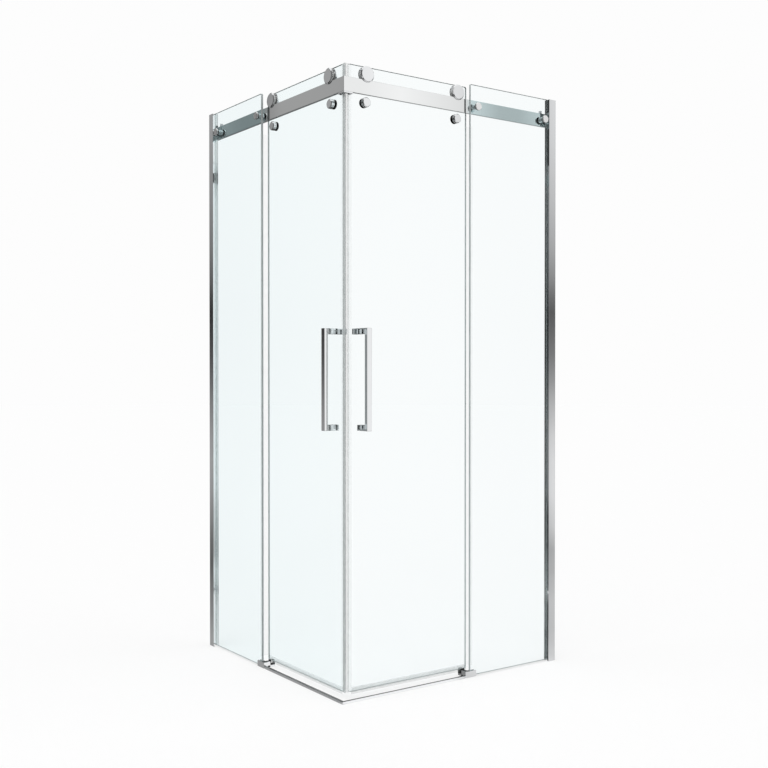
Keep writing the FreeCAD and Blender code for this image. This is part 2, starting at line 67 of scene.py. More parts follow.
class ShowerSizes(bpy.types.PropertyGroup):
    """Edge roundings and small forms that the solids leave plain."""

    glass_arris: FloatProperty(
        name="Glass arris", description="Width of the polished arris on every glass edge",
        default=0.0006, min=0.0001, unit="LENGTH")
    panel_corner: FloatProperty(
        name="Panel corner", description="Corner radius of the fixed panels",
        default=0.003, min=0.001, unit="LENGTH")
    door_corner: FloatProperty(
        name="Door corner", description="Corner radius of the sliding doors",
        default=0.006, min=0.001, unit="LENGTH")
    bolt_hole: FloatProperty(
        name="Bolt hole", description="Radius of the holes for bolts and studs in the glass",
        default=0.0045, min=0.001, unit="LENGTH")
    pin_hole: FloatProperty(
        name="Pin hole", description="Radius of the holes for roller pins and handle screws in the doors",
        default=0.005, min=0.001, unit="LENGTH")
    wall_hole: FloatProperty(
        name="Wall hole", description="Radius of the screw holes in the wall profiles",
        default=0.00275, min=0.001, unit="LENGTH")
    wall_hole_rise: FloatProperty(
        name="Wall hole rise", description="Height of the lowest screw hole in the wall profiles",
        default=0.15, min=0.02, unit="LENGTH")
    profile_wall: FloatProperty(
        name="Profile wall", description="Thickness of the wall profile",
        default=0.002, min=0.0005, unit="LENGTH")
    chrome_edge: FloatProperty(
        name="Chrome edge", description="Rounding of the edges of chrome blocks",
        default=0.0008, min=0.0001, unit="LENGTH")
    rail_edge: FloatProperty(
        name="Rail edge", description="Rounding of the rail's long edges",
        default=0.0007, min=0.0001, unit="LENGTH")
    disc_edge: FloatProperty(
        name="Disc edge", description="Rounding of turned edges",
        default=0.0005, min=0.0001, unit="LENGTH")
    disc_bevel: FloatProperty(
        name="Disc bevel", description="Bevel round the face of bolt heads",
        default=0.0013, min=0.0001, unit="LENGTH")
    cap_bevel: FloatProperty(
        name="Cap bevel", description="Wide bevel round the face of the roller discs",
        default=0.0034, min=0.0001, unit="LENGTH")
    stud_bevel: FloatProperty(
        name="Stud bevel", description="Bevel round the face of the anti-lift studs",
        default=0.0024, min=0.0001, unit="LENGTH")
    seal_edge: FloatProperty(
        name="Seal edge", description="Rounding of the edges of seals and gaskets",
        default=0.0003, min=0.00005, unit="LENGTH")
    glass_seat: FloatProperty(
        name="Glass seat", description="Depth of the lining's seat for the fixed pane's end",
        default=0.0015, min=0.0001, unit="LENGTH")
    seal_room: FloatProperty(
        name="Seal room", description="Room that seals, gaskets and clamps leave round the glass",
        default=0.00008, min=0.00001, unit="LENGTH")
    sill_corner: FloatProperty(
        name="Sill corner", description="Radius of the sill's outer corner",
        default=0.0035, min=0.0005, unit="LENGTH")
    turned_steps: IntProperty(
        name="Turned steps", description="Steps round every turned piece", default=72, min=16)


class ShowerColours(bpy.types.PropertyGroup):
    """Colours of the finishes."""

    chrome: FloatVectorProperty(
        name="Chrome", description="Bright chrome plate", subtype="COLOR", size=4,
        default=(0.86, 0.87, 0.88, 1))
    satin: FloatVectorProperty(
        name="Satin chrome", description="Satin heads of the rail bolts", subtype="COLOR", size=4,
        default=(0.95, 0.95, 0.95, 1))
    rail: FloatVectorProperty(
        name="Rail", description="Mirror-polished rail", subtype="COLOR", size=4,
        default=(0.87, 0.88, 0.88, 1))
    rail_far: FloatVectorProperty(
        name="Rail behind glass", description="Cooler rail along the fixed panes", subtype="COLOR", size=4,
        default=(0.785, 0.885, 0.895, 1))
    glass: FloatVectorProperty(
        name="Glass", description="Tint of light that passes the glass", subtype="COLOR", size=4,
        default=(0.964, 0.991, 0.994, 1))
    glass_flat: FloatVectorProperty(
        name="Glass at a flat angle", description="Tint where the light crosses more of the glass",
        subtype="COLOR", size=4, default=(0.915, 0.985, 0.994, 1))
    glass_edge: FloatVectorProperty(
        name="Glass edge", description="Polished edge of the glass", subtype="COLOR", size=4,
        default=(0.46, 0.50, 0.50, 1))
    # Painted reflection: a dark colour that the glass edge takes only where a mirror shows it
    mirrored_edge: FloatVectorProperty(
        name="Mirrored glass edge", description="Edge of the glass as the rail mirrors it", subtype="COLOR",
        size=4, default=(0.12, 0.13, 0.13, 1))
    seal: FloatVectorProperty(
        name="Seal", description="Clear flexible seal", subtype="COLOR", size=4,
        default=(0.60, 0.64, 0.64, 1))
    black: FloatVectorProperty(
        name="Black plastic", description="Black moulded plastic", subtype="COLOR", size=4,
        default=(0.012, 0.012, 0.013, 1))
    lining: FloatVectorProperty(
        name="Lining", description="Bright lining that holds the fixed glass", subtype="COLOR", size=4,
        default=(0.75, 0.78, 0.78, 1))
    grey: FloatVectorProperty(
        name="Grey plastic", description="Grey moulded plastic", subtype="COLOR", size=4,
        default=(0.50, 0.51, 0.52, 1))
    nylon: FloatVectorProperty(
        name="Nylon", description="Pale hard nylon of the wheels", subtype="COLOR", size=4,
        default=(0.70, 0.71, 0.70, 1))
    steel: FloatVectorProperty(
        name="Steel", description="Plain steel of pins and bearings", subtype="COLOR", size=4,
        default=(0.56, 0.57, 0.58, 1))


class ShowerStudio(bpy.types.PropertyGroup):
    """Camera, light and background."""

    camera_place: FloatVectorProperty(
        name="Camera place", description="Where the camera stands", subtype="XYZ", size=3,
        default=(-2.19375, -3.12475, 1.0024), unit="LENGTH")
    camera_aim: FloatVectorProperty(
        name="Camera aim", description="Direction in which the camera looks", subtype="XYZ", size=3,
        default=(0.57953, 0.81489, -0.0101))
    camera_lens: FloatProperty(
        name="Lens", description="Focal length on a 36 mm sensor", default=50.0, min=10.0)
    background: FloatProperty(
        name="Background", description="Level of the white background", default=0.982, min=0.0)
    daylight: FloatProperty(
        name="Daylight", description="Level of the even light from all round", default=0.45, min=0.0)
    floor_shade: FloatProperty(
        name="Floor shade", description="Share of the floor's white that shadows can take away",
        default=0.25, min=0.0, max=1.0)
    floor_light: FloatProperty(
        name="Floor light", description="Light that reaches the open floor", default=1.115, min=0.0)
    card_distance: FloatProperty(
        name="Card distance", description="How far the reflector cards stand from the middle",
        default=9.0, min=3.0, unit="LENGTH")


def sizes():
    return bpy.context.scene.shower_sizes


def colours():
    return bpy.context.scene.shower_colours


def studio():
    return bpy.context.scene.shower_studio


# Finishes


def add(tree, kind, inputs=None, **settings):
    """Add a node, set its options, and give its inputs a value or a link."""
    made = tree.nodes.new(kind)
    for name, value in settings.items():
        setattr(made, name, value)
    for name, value in (inputs or {}).items():
        if isinstance(value, bpy.types.NodeSocket):
            tree.links.new(value, made.inputs[name])
        else:
            made.inputs[name].default_value = value
    return made


def calc(tree, operation, first, second=0.0, **settings):
    """The outcome of a Math node."""
    return add(tree, "ShaderNodeMath", {0: first, 1: second}, operation=operation, **settings).outputs[0]


def ramp(tree, value, start, end, low=0.0, high=1.0):
    """A level that runs from low to high while a value goes from start to end."""
    return add(tree, "ShaderNodeMapRange", {"Value": value, "From Min": start, "From Max": end,
                                            "To Min": low, "To Max": high}).outputs[0]


def stepped(tree, value, stops):
    """A level that follows a list of (value, level) stops."""
    start, end = stops[0][0], stops[-1][0]
    steps = add(tree, "ShaderNodeValToRGB", {"Fac": ramp(tree, value, start, end)})
    elements = steps.color_ramp.elements
    while len(elements) < len(stops):
        elements.new(1.0)
    for element, (at, level) in zip(elements, stops):
        element.position = (at - start) / (end - start)
        element.color = (level, level, level, 1)
    return steps.outputs[0]


def blend(tree, share, first, second):
    """A level that goes from the first to the second by a share."""
    return add(tree, "ShaderNodeMix", {0: share, 2: first, 3: second}).outputs[0]


def mixed(tree, share, first, second):
    """A colour that goes from the first to the second by a share."""
    return add(tree, "ShaderNodeMix", {0: share, 6: first, 7: second}, data_type="RGBA").outputs[2]


def new_group(name, inputs, outputs):
    """An empty shader node group with named float sockets."""
    tree = bpy.data.node_groups.new(name, "ShaderNodeTree")
    for label, value in inputs.items():
        socket = tree.interface.new_socket(label, in_out="INPUT", socket_type="NodeSocketFloat")
        socket.default_value = value
    for label in outputs:
        tree.interface.new_socket(label, in_out="OUTPUT", socket_type="NodeSocketFloat")
    return tree, tree.nodes.new("NodeGroupInput"), tree.nodes.new("NodeGroupOutput")


def polish_haze():
    """Wiping marks of a polished surface: a drifting roughness, their mask and a slow wave."""
    tree, given, out = new_group(
        "polish_haze", {"Scale": 9.0, "Low": 0.02, "High": 0.06}, ("Roughness", "Mask", "Wave"))
    place = add(tree, "ShaderNodeTexCoord").outputs["Object"]
    smear = add(tree, "ShaderNodeTexNoise",
                {"Vector": place, "Scale": given.outputs["Scale"], "Detail": 5.0, "Distortion": 1.2})
    finer = calc(tree, "MULTIPLY", given.outputs["Scale"], 16.0)
    specks = add(tree, "ShaderNodeTexNoise", {"Vector": place, "Scale": finer, "Detail": 2.0})
    both = calc(tree, "MULTIPLY", smear.outputs[0], specks.outputs[0])
    rough = ramp(tree, both, 0.12, 0.40, given.outputs["Low"], given.outputs["High"])
    wave = add(tree, "ShaderNodeTexNoise", {"Vector": place, "Scale": 2.5, "Detail": 1.0})
    tree.links.new(rough, out.inputs["Roughness"])
    tree.links.new(smear.outputs[0], out.inputs["Mask"])
    tree.links.new(wave.outputs[0], out.inputs["Wave"])
    return tree


def drawn_lines():
    """Fine level lines left by drawing and polishing a bar."""
    tree, given, out = new_group("drawn_lines", {"Along": 2.0, "Across": 900.0}, ("Lines",))
    place = add(tree, "ShaderNodeTexCoord").outputs["Object"]
    stretch = add(tree, "ShaderNodeCombineXYZ",
                  {"X": given.outputs["Along"], "Y": given.outputs["Along"], "Z": given.outputs["Across"]})
    pulled = add(tree, "ShaderNodeVectorMath", {0: place, 1: stretch.outputs[0]}, operation="MULTIPLY")
    lines = add(tree, "ShaderNodeTexNoise", {"Vector": pulled.outputs[0], "Scale": 1.0, "Detail": 3.0})
    tree.links.new(lines.outputs[0], out.inputs["Lines"])
    return tree


def moulded_grain():
    """The fine spark-eroded grain of moulded plastic, with slow drifts of tone."""
    tree, given, out = new_group("moulded_grain", {"Scale": 1800.0}, ("Grain", "Drift"))
    place = add(tree, "ShaderNodeTexCoord").outputs["Object"]
    pits = add(tree, "ShaderNodeTexVoronoi", {"Vector": place, "Scale": given.outputs["Scale"]})
    drift = add(tree, "ShaderNodeTexNoise", {"Vector": place, "Scale": 40.0, "Detail": 4.0})
    tree.links.new(pits.outputs["Distance"], out.inputs["Grain"])
    tree.links.new(drift.outputs[0], out.inputs["Drift"])
    return tree


def use(tree, build, **values):
    """Place a shared effect in a material, with its own values."""
    group = bpy.data.node_groups.get(build.__name__) or build()
    made = add(tree, "ShaderNodeGroup", node_tree=group)
    for name, value in values.items():
        made.inputs[name].default_value = value
    return made.outputs


def two_tones(tree, mask, colour, share):
    """A colour that drifts towards a darker tone of itself under a mask."""
    return mixed(tree, mask, colour, [part * share for part in colour[:3]] + [1.0])


def between(tree, mask, low, high):
    """A value that runs from low to high over the middle of a mask."""
    return ramp(tree, mask, 0.3, 0.7, low, high)


def bump(tree, height, strength, distance):
    return add(tree, "ShaderNodeBump",
               {"Height": height, "Strength": strength, "Distance": distance}).outputs[0]


def mirrored(tree):
    """One for what a mirror shows, and zero for what is seen directly or through glass."""
    return calc(tree, "GREATER_THAN", add(tree, "ShaderNodeLightPath").outputs["Glossy Depth"], 0.5)


def new_finish(name, inputs):
    """A material with one Principled shader, whose inputs are filled by the caller."""
    material = bpy.data.materials.new(name)
    material.use_nodes = True
    tree = material.node_tree
    tree.nodes.clear()
    shader = add(tree, "ShaderNodeBsdfPrincipled", inputs)
    add(tree, "ShaderNodeOutputMaterial", {"Surface": shader.outputs[0]})
    return material, tree, shader


def fill(tree, shader, **sockets):
    for name, socket in sockets.items():
        tree.links.new(socket, shader.inputs[name.replace("_", " ")])


def plated(name, colour, share, scale, low, high):
    """Plated metal with wiping marks, its roughness between low and high."""
    material, tree, shader = new_finish(name, {"Metallic": 1.0})
    haze = use(tree, polish_haze, Scale=scale, Low=low, High=high)
    fill(tree, shader, Base_Color=two_tones(tree, haze["Mask"], colour, share),
         Roughness=haze["Roughness"], Normal=bump(tree, haze["Wave"], strength=0.02, distance=0.0004))
    return material


def bright_chrome():
    return plated("bright_chrome", colours().chrome, share=0.965, scale=12.0, low=0.02, high=0.055)


def satin_chrome():
    return plated("satin_chrome", colours().satin, share=0.95, scale=40.0, low=0.30, high=0.38)


def bright_lining():
    return plated("bright_lining", colours().lining, share=0.94, scale=20.0, low=0.08, high=0.16)


def mirror_rail():
    """A polished bar with fine drawn lines, cooler in tone along the fixed panes."""
    material, tree, shader = new_finish("mirror_rail", {"Metallic": 1.0})
    haze = use(tree, polish_haze, Scale=7.0, Low=0.02, High=0.045)
    lines = use(tree, drawn_lines, Along=1.5, Across=700.0)["Lines"]
    place = add(tree, "ShaderNodeTexCoord").outputs["Object"]
    parts = add(tree, "ShaderNodeSeparateXYZ", {0: place}).outputs
    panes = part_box("right_fixed_glass")[0].x
    change = 0.01
    behind = ramp(tree, calc(tree, "MAXIMUM", parts["X"], parts["Y"]), panes, panes + change)
    colour = mixed(tree, behind, two_tones(tree, lines, colours().rail, 0.975),
                   two_tones(tree, lines, colours().rail_far, 0.975))
    fill(tree, shader, Base_Color=colour, Roughness=haze["Roughness"],
         Normal=bump(tree, lines, strength=0.02, distance=0.00002))
    return material


def plain_steel():
    material, tree, shader = new_finish("plain_steel", {"Metallic": 1.0})
    haze = use(tree, polish_haze, Scale=60.0, Low=0.16, High=0.30)
    lines = use(tree, drawn_lines, Along=40.0, Across=2500.0)["Lines"]
    fill(tree, shader, Base_Color=two_tones(tree, haze["Mask"], colours().steel, 0.8),
         Roughness=haze["Roughness"], Normal=bump(tree, lines, strength=0.08, distance=0.00003))
    return material


def toughened_glass():
    """Toughened glass, more tinted at a flat angle; light from the lamps passes it."""
    material, tree, shader = new_finish(
        "toughened_glass", {"Metallic": 0.0, "Transmission Weight": 1.0, "IOR": 1.12, "Roughness": 0.0})
    haze = use(tree, polish_haze, Scale=1.3)
    facing = add(tree, "ShaderNodeLayerWeight", {"Blend": 0.5}).outputs["Facing"]
    flat = ramp(tree, facing, 0.28, 0.5)
    tint = mixed(tree, flat, two_tones(tree, haze["Mask"], colours().glass, 0.994),
                 two_tones(tree, haze["Mask"], colours().glass_flat, 0.994))
    fill(tree, shader, Base_Color=tint)
    path = add(tree, "ShaderNodeLightPath")
    passing = add(tree, "ShaderNodeBsdfTransparent", {"Color": colours().glass})
    both = add(tree, "ShaderNodeMixShader", {0: path.outputs["Is Shadow Ray"],
                                             1: shader.outputs[0], 2: passing.outputs[0]})
    tree.links.new(both.outputs[0], tree.nodes["Material Output"].inputs["Surface"])
    return material


def polished_glass_edge():
    """The ground and polished edge of a pane, with a painted darker reflection: the edge turns to a dark
    colour where the rail mirrors it.
    """
    material, tree, shader = new_finish("polished_glass_edge", {"IOR": 1.5})
    haze = use(tree, polish_haze, Scale=30.0, Low=0.22, High=0.38)
    lines = use(tree, drawn_lines, Along=120.0, Across=120.0)["Lines"]
    # Painted reflection: seen in a mirror, the edge takes a dark painted colour instead of its own
    colour = mixed(tree, mirrored(tree), two_tones(tree, haze["Mask"], colours().glass_edge, 0.86),
                   two_tones(tree, haze["Mask"], colours().mirrored_edge, 0.86))
    fill(tree, shader, Base_Color=colour, Roughness=haze["Roughness"],
         Normal=bump(tree, lines, strength=0.1, distance=0.0001))
    return material


def flexible(name, low, high):
    """Clear flexible plastic, its cover between low and high."""
    material, tree, shader = new_finish(name, {"IOR": 1.4, "Specular IOR Level": 0.3})
    grain = use(tree, moulded_grain, Scale=900.0)
    fill(tree, shader, Base_Color=two_tones(tree, grain["Drift"], colours().seal, 0.93),
         Roughness=between(tree, grain["Drift"], 0.22, 0.36),
         Alpha=between(tree, grain["Drift"], low, high))
    return material


# Painted light and shade: the doors' meeting seals are copies of one clear seal, this right-hand copy drawn
# clearer and lighter, the left-hand one denser and darker, as the light falls on the two doors
def milky_seal():
    return flexible("milky_seal", low=0.15, high=0.19)


# Painted shade: the left door's copy of the clear seal, drawn denser and so darker for the shade on that
# side
def shaded_seal_copy():
    return flexible("shaded_seal_copy", low=0.53, high=0.59)


def drip_strip():
    return flexible("drip_strip", low=0.13, high=0.17)


def clear_film():
    return flexible("clear_film", low=0.035, high=0.055)


def moulded(name, colour, low, high, depth):
    """Moulded plastic with a fine grain, its roughness between low and high."""
    material, tree, shader = new_finish(name, {"IOR": 1.48})
    grain = use(tree, moulded_grain, Scale=1600.0)
    fill(tree, shader, Base_Color=two_tones(tree, grain["Drift"], colour, 0.82),
         Roughness=between(tree, grain["Drift"], low, high),
         Normal=bump(tree, grain["Grain"], strength=depth, distance=0.0001))
    return material


def black_moulding():
    return moulded("black_moulding", colours().black, low=0.32, high=0.5, depth=0.12)


def grey_moulding():
    return moulded("grey_moulding", colours().grey, low=0.4, high=0.58, depth=0.15)


def wheel_nylon():
    return moulded("wheel_nylon", colours().nylon, low=0.35, high=0.5, depth=0.06)


def finish(build):
    """The material that a function builds, made once."""
    return bpy.data.materials.get(build.__name__) or build()


# Shapes, all on the right-hand wall


def block(low, high):
    """A block between two corners, to be shaped further."""
    shape = bmesh.new()
    spread = Matrix.Diagonal((*(high - low), 1.0))
    bmesh.ops.create_cube(shape, size=1.0, matrix=Matrix.Translation((low + high) / 2) @ spread)
    return shape


def thicken(shape, way):
    """Extrude every face of a flat shape along a vector into a closed solid."""
    made = bmesh.ops.extrude_face_region(shape, geom=shape.faces[:])
    moved = [item for item in made["geom"] if isinstance(item, bmesh.types.BMVert)]
    bmesh.ops.translate(shape, verts=moved, vec=way)
    bmesh.ops.recalc_face_normals(shape, faces=shape.faces)
    return shape


def prism(corners, way):
    """Extrude an outline along a vector."""
    shape = bmesh.new()
    shape.faces.new([shape.verts.new(corner) for corner in corners])
    return thicken(shape, way)


def upright_prism(outline, low, high):
    return prism([(x, y, low) for x, y in outline], (0, 0, high - low))


def level_prism(outline, low, high):
    return prism([(low, y, z) for y, z in outline], (high - low, 0, 0))


def soften(shape, width, segments=3, sharper_than=0.6):
    """Round every edge that is sharper than an angle."""
    sharp = [edge for edge in shape.edges
             if len(edge.link_faces) == 2 and edge.calc_face_angle() > sharper_than]
    bmesh.ops.bevel(shape, geom=sharp, offset=width, affect="EDGES", segments=segments, profile=0.5,
                    material=-1, clamp_overlap=True, loop_slide=False)
    return shape


def turned(outline, centre, ring=False, stand=None):
    """Spin an outline of (radius, depth) points round an axis through the wall, or upright."""
    shape = bmesh.new()
    points = [shape.verts.new((radius, depth, 0)) for radius, depth in outline]
    ends = points[1:] + points[:1] if ring else points[1:]
    lines = [shape.edges.new(pair) for pair in zip(points, ends)]
    bmesh.ops.spin(shape, geom=points + lines, cent=(0, 0, 0), axis=(0, 1, 0), dvec=(0, 0, 0),
                   angle=2 * math.pi, steps=sizes().turned_steps, use_merge=True)
    bmesh.ops.remove_doubles(shape, verts=shape.verts, dist=MERGE_DISTANCE)
    bmesh.ops.recalc_face_normals(shape, faces=shape.faces)
    place = Matrix.Translation(centre) @ (stand or Matrix.Identity(4))
    bmesh.ops.transform(shape, matrix=place, verts=shape.verts)
    return shape


def mitre(shape, corner):
    """Cut a bar along the diagonal plane through the enclosure's corner, and close the cut."""
    everything = shape.verts[:] + shape.edges[:] + shape.faces[:]
    made = bmesh.ops.bisect_plane(shape, geom=everything, plane_co=(corner, corner, 0),
                                  plane_no=(-1, 1, 0), clear_outer=True)
    rim = [item for item in made["geom_cut"] if isinstance(item, bmesh.types.BMEdge)]
    bmesh.ops.edgeloop_fill(shape, edges=rim)
    bmesh.ops.recalc_face_normals(shape, faces=shape.faces)
    return shape


def drilled_plate(width, height, thick, holes, corner=0.0, arris=0.0):
    """A plate in the XZ plane that grows along +Y, with round holes, round corners and an arris."""
    shape = bmesh.new()
    spread = Matrix.Diagonal((width, height, 1.0, 1.0))
    bmesh.ops.create_grid(shape, x_segments=1, y_segments=1, size=0.5, matrix=UPRIGHT @ spread)
    if corner:
        bmesh.ops.bevel(shape, geom=shape.verts[:], offset=corner, affect="VERTICES", segments=CORNER_STEPS,
                        profile=0.5, material=-1)
    bmesh.ops.delete(shape, geom=shape.faces[:], context="FACES_ONLY")
    for x, z, radius in holes:
        bmesh.ops.create_circle(shape, cap_ends=False, segments=HOLE_STEPS, radius=radius,
                                matrix=Matrix.Translation((x, 0, z)) @ UPRIGHT)
    bmesh.ops.triangle_fill(shape, use_beauty=True, edges=shape.edges[:], normal=(0, -1, 0))
    if arris:
        bmesh.ops.inset_region(shape, faces=shape.faces[:], thickness=arris, use_boundary=True,
                               use_even_offset=True)
    thicken(shape, (0, thick, 0))
    walls = [edge for edge in shape.edges if abs(edge.verts[0].co.y - edge.verts[1].co.y) > thick / 2]
    for vert in {vert for edge in walls for vert in edge.verts}:
        vert.co.y += arris if vert.co.y < thick / 2 else -arris
    return shape


def together(*shapes):
    """Put several shapes into one."""
    whole = bmesh.new()
    for shape in shapes:
        mesh = bpy.data.meshes.new("part")
        shape.to_mesh(mesh)
        shape.free()
        whole.from_mesh(mesh)
        bpy.data.meshes.remove(mesh)
    return whole


def glass_slot(node):
    """The box of a right-hand pane with the room that the pieces round it leave."""
    low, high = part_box(f"right_{node}")
    room = Vector.Fill(3, sizes().seal_room)
    return low - room, high + room


def half_height(low, high):
    """The radius of a round piece, from its box."""
    return (high.z - low.z) / 2


def pair_centres(node):
    """The axes of a node's two round pieces, as points at depth 0."""
    low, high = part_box(f"right_{node}")
    radius = half_height(low, high)
    level = (low.z + high.z) / 2
    return Vector((low.x + radius, 0, level)), Vector((high.x - radius, 0, level))


def washer(inner, outer, low, high):
    """The outline of a flat ring."""
    return [(inner, low.y), (outer, low.y), (outer, high.y), (inner, high.y)]


def turned_pair(node, outline, ring=False, edge=0.0):
    """Two like turned pieces on a node's axes."""
    shapes = [turned(outline, centre, ring) for centre in pair_centres(node)]
    if edge:
        shapes = [soften(shape, edge) for shape in shapes]
    return together(*shapes)


def make_piece(name, shape, body, slot, finishes, *nodes):
    """A finished piece that rides on a body and stands for CAD nodes."""
    bmesh.ops.recalc_face_normals(shape, faces=shape.faces)
    mesh = bpy.data.meshes.new(name)
    shape.to_mesh(mesh)
    shape.free()
    mesh.polygons.foreach_set("use_smooth", [True] * len(mesh.polygons))
    mesh.set_sharp_from_angle(angle=SHARP_ANGLE)
    for build in finishes:
        mesh.materials.append(finish(build))
    piece = bpy.data.objects.new(name, mesh)
    bpy.context.scene.collection.objects.link(piece)
    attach(piece, body)
    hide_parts(*nodes)
    return piece


def both_walls(name, build, body, slot, finishes, node):
    """Make a piece on each wall from a function that shapes it on the right-hand one."""
    for side, turn in WALLS.items():
        shape = build()
        bmesh.ops.transform(shape, matrix=turn, verts=shape.verts)
        own = finishes[side] if isinstance(finishes, dict) else finishes
        make_piece(f"{side}_{name}", shape, body.format(side=side), slot, own, f"{side}_{node}")


# Operators


class SHOWER_OT_glass_panels(bpy.types.Operator):
    """Two fixed panes and two sliding panes with drilled holes and polished edges"""

    bl_idname = "shower.glass_panels"
    bl_label = "Glass panels"

    def pane(self, low, high, corner, holes):
        middle = (low + high) / 2
        own = [(centre.x - middle.x, centre.z - middle.z, radius) for centre, radius in holes]
        arris = sizes().glass_arris
        shape = drilled_plate(high.x - low.x, high.z - low.z, high.y - low.y, own, corner, arris)
        for face in shape.faces:
            depths = [vert.co.y for vert in face.verts]
            face.material_index = int(max(depths) - min(depths) > arris / 2)
        bmesh.ops.translate(shape, verts=shape.verts, vec=(middle.x, low.y, middle.z))
        return shape

    def fixed_pane(self):
        holes = [(centre, sizes().bolt_hole) for centre in pair_centres("rail_bolts")]
        low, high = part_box("right_fixed_glass")
        high.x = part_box("right_glazing_gasket")[0].x + sizes().glass_seat - sizes().seal_room
        shape = self.pane(low, high, sizes().panel_corner, holes)
        # The end in the lining stays clear
        for face in shape.faces:
            if face.normal.x > 0.9:
                face.material_index = 0
        return shape

    def door_pane(self):
        holes = [(centre, sizes().pin_hole) for centre in pair_centres("roller_caps")]
        holes += [(centre, sizes().bolt_hole) for centre in pair_centres("anti_lift_studs")]
        low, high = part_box("right_handle_posts")
        half = (high.x - low.x) / 2
        for level in (low.z + half, high.z - half):
            holes.append((Vector((low.x + half, 0, level)), sizes().pin_hole))
        shape = self.pane(*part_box("right_door_glass"), sizes().door_corner, holes)
        # The leading edge looks like the seal on it
        for face in shape.faces:
            if face.material_index and face.normal.x < -0.5:
                face.material_index = 2
        return shape

    def execute(self, context):
        finishes = (toughened_glass, polished_glass_edge)
        both_walls("fixed_pane", self.fixed_pane, "frame", "clear_glass", finishes, "fixed_glass")
        # The left door's leading edge takes the darker seal copy with painted shade
        sealed = {"right": (*finishes, milky_seal), "left": (*finishes, shaded_seal_copy)}
        both_walls("door_pane", self.door_pane, "{side}_door", "clear_glass", sealed, "door_glass")
        return {"FINISHED"}


class SHOWER_OT_wall_profiles(bpy.types.Operator):
    """Chrome channels on the room's walls, the linings that hold the glass and the strips under it"""

    bl_idname = "shower.wall_profiles"
    bl_label = "Wall profiles"

    def channel(self):
        low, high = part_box("right_wall_profile")
        wall = sizes().profile_wall
        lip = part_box("right_glazing_gasket")[0].y
        web = high.x - wall
        front = [(low.x, low.y), (web, low.y), (web, low.y + wall), (low.x + wall, low.y + wall),
                 (low.x + wall, lip), (low.x, lip)]
        back = [(low.x, high.y - wall), (web, high.y - wall), (web, high.y), (low.x, high.y)]
        flanges = [soften(upright_prism(outline, low.z, high.z), wall / 6, 2)
                   for outline in (front, back)]
        middle = (low + high) / 2
        reach = (high.z - low.z) / 2 - sizes().wall_hole_rise
        holes = [(0, level, sizes().wall_hole) for level in (-reach, 0, reach)]
        plate = drilled_plate(high.y - low.y, high.z - low.z, wall, holes)
        place = Matrix.Translation((high.x, middle.y, middle.z)) @ Matrix.Rotation(math.pi / 2, 4, "Z")
        bmesh.ops.transform(plate, matrix=place, verts=plate.verts)
        return together(*flanges, plate)

    def lining(self):
        low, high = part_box("right_glazing_gasket")
        glass_low, glass_high = glass_slot("fixed_glass")
        seat = low.x + sizes().glass_seat
        outline = [(low.x, low.y), (high.x, low.y), (high.x, high.y), (low.x, high.y), (low.x, glass_high.y),
                   (seat, glass_high.y), (seat, glass_low.y), (low.x, glass_low.y)]
        return soften(upright_prism(outline, low.z, high.z), sizes().seal_edge, 2)

    def strip(self):
        return soften(block(*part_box("right_setting_strip")), sizes().seal_edge)

    def execute(self, context):
        both_walls("wall_channel", self.channel, "frame", "chrome_trim", (bright_chrome,), "wall_profile")
        both_walls("glass_lining", self.lining, "frame", "clear_seal", (bright_lining,), "glazing_gasket")
        both_walls("panel_strip", self.strip, "frame", "clear_seal", (clear_film,), "setting_strip")
        return {"FINISHED"}


class SHOWER_OT_rails(bpy.types.Operator):
    """Polished rails mitred at the corner, their end stops, and the plate and screws under the mitre"""

    bl_idname = "shower.rails"
    bl_label = "Rails"

    def bar(self):
        low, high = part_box("right_rail")
        shape = soften(block(low, high), sizes().rail_edge)
        return mitre(shape, low.y)

    def stop(self):
        low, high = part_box("right_rail_stop")
        low.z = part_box("right_rail")[1].z
        return soften(block(low, high), sizes().chrome_edge)

    def mitre_plate(self):
        low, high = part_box("corner_connector")
        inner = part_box("right_rail")[1].y
        outline = [(low.x, low.y), (high.x, low.y), (high.x, inner), (inner, inner),
                   (inner, high.y), (low.x, high.y)]
        return soften(upright_prism(outline, low.z, high.z), sizes().chrome_edge)

    def mitre_screws(self):
        low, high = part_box("connector_screws")
        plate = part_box("corner_connector")[0].z
        rail_low, rail_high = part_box("right_rail")
        head = (rail_low.y + rail_high.y) / 2 - low.y
        shank = 0.6 * head
        socket = 0.45 * head
        deep = low.z + 0.6 * (plate - low.z)
        outline = [(0, deep), (socket, deep), (socket, low.z), (head, low.z), (head, plate),
                   (shank, plate), (shank, high.z), (0, high.z)]
        right = Vector((high.x - head, low.y + head, 0))
        left = Vector((right.y, right.x, 0))
        return together(*[soften(turned(outline, centre, stand=UPRIGHT), sizes().disc_edge)
                          for centre in (right, left)])

    def execute(self, context):
        both_walls("rail_bar", self.bar, "frame", "polished_rail", (mirror_rail,), "rail")
        both_walls("stop_block", self.stop, "frame", "grey_plastic", (grey_moulding,), "rail_stop")
        make_piece("mitre_plate", self.mitre_plate(), "frame", "chrome_trim", (bright_chrome,),
                   "corner_connector")
        make_piece("mitre_screws", self.mitre_screws(), "frame", "bearing_steel", (plain_steel,),
                   "connector_screws")
        return {"FINISHED"}


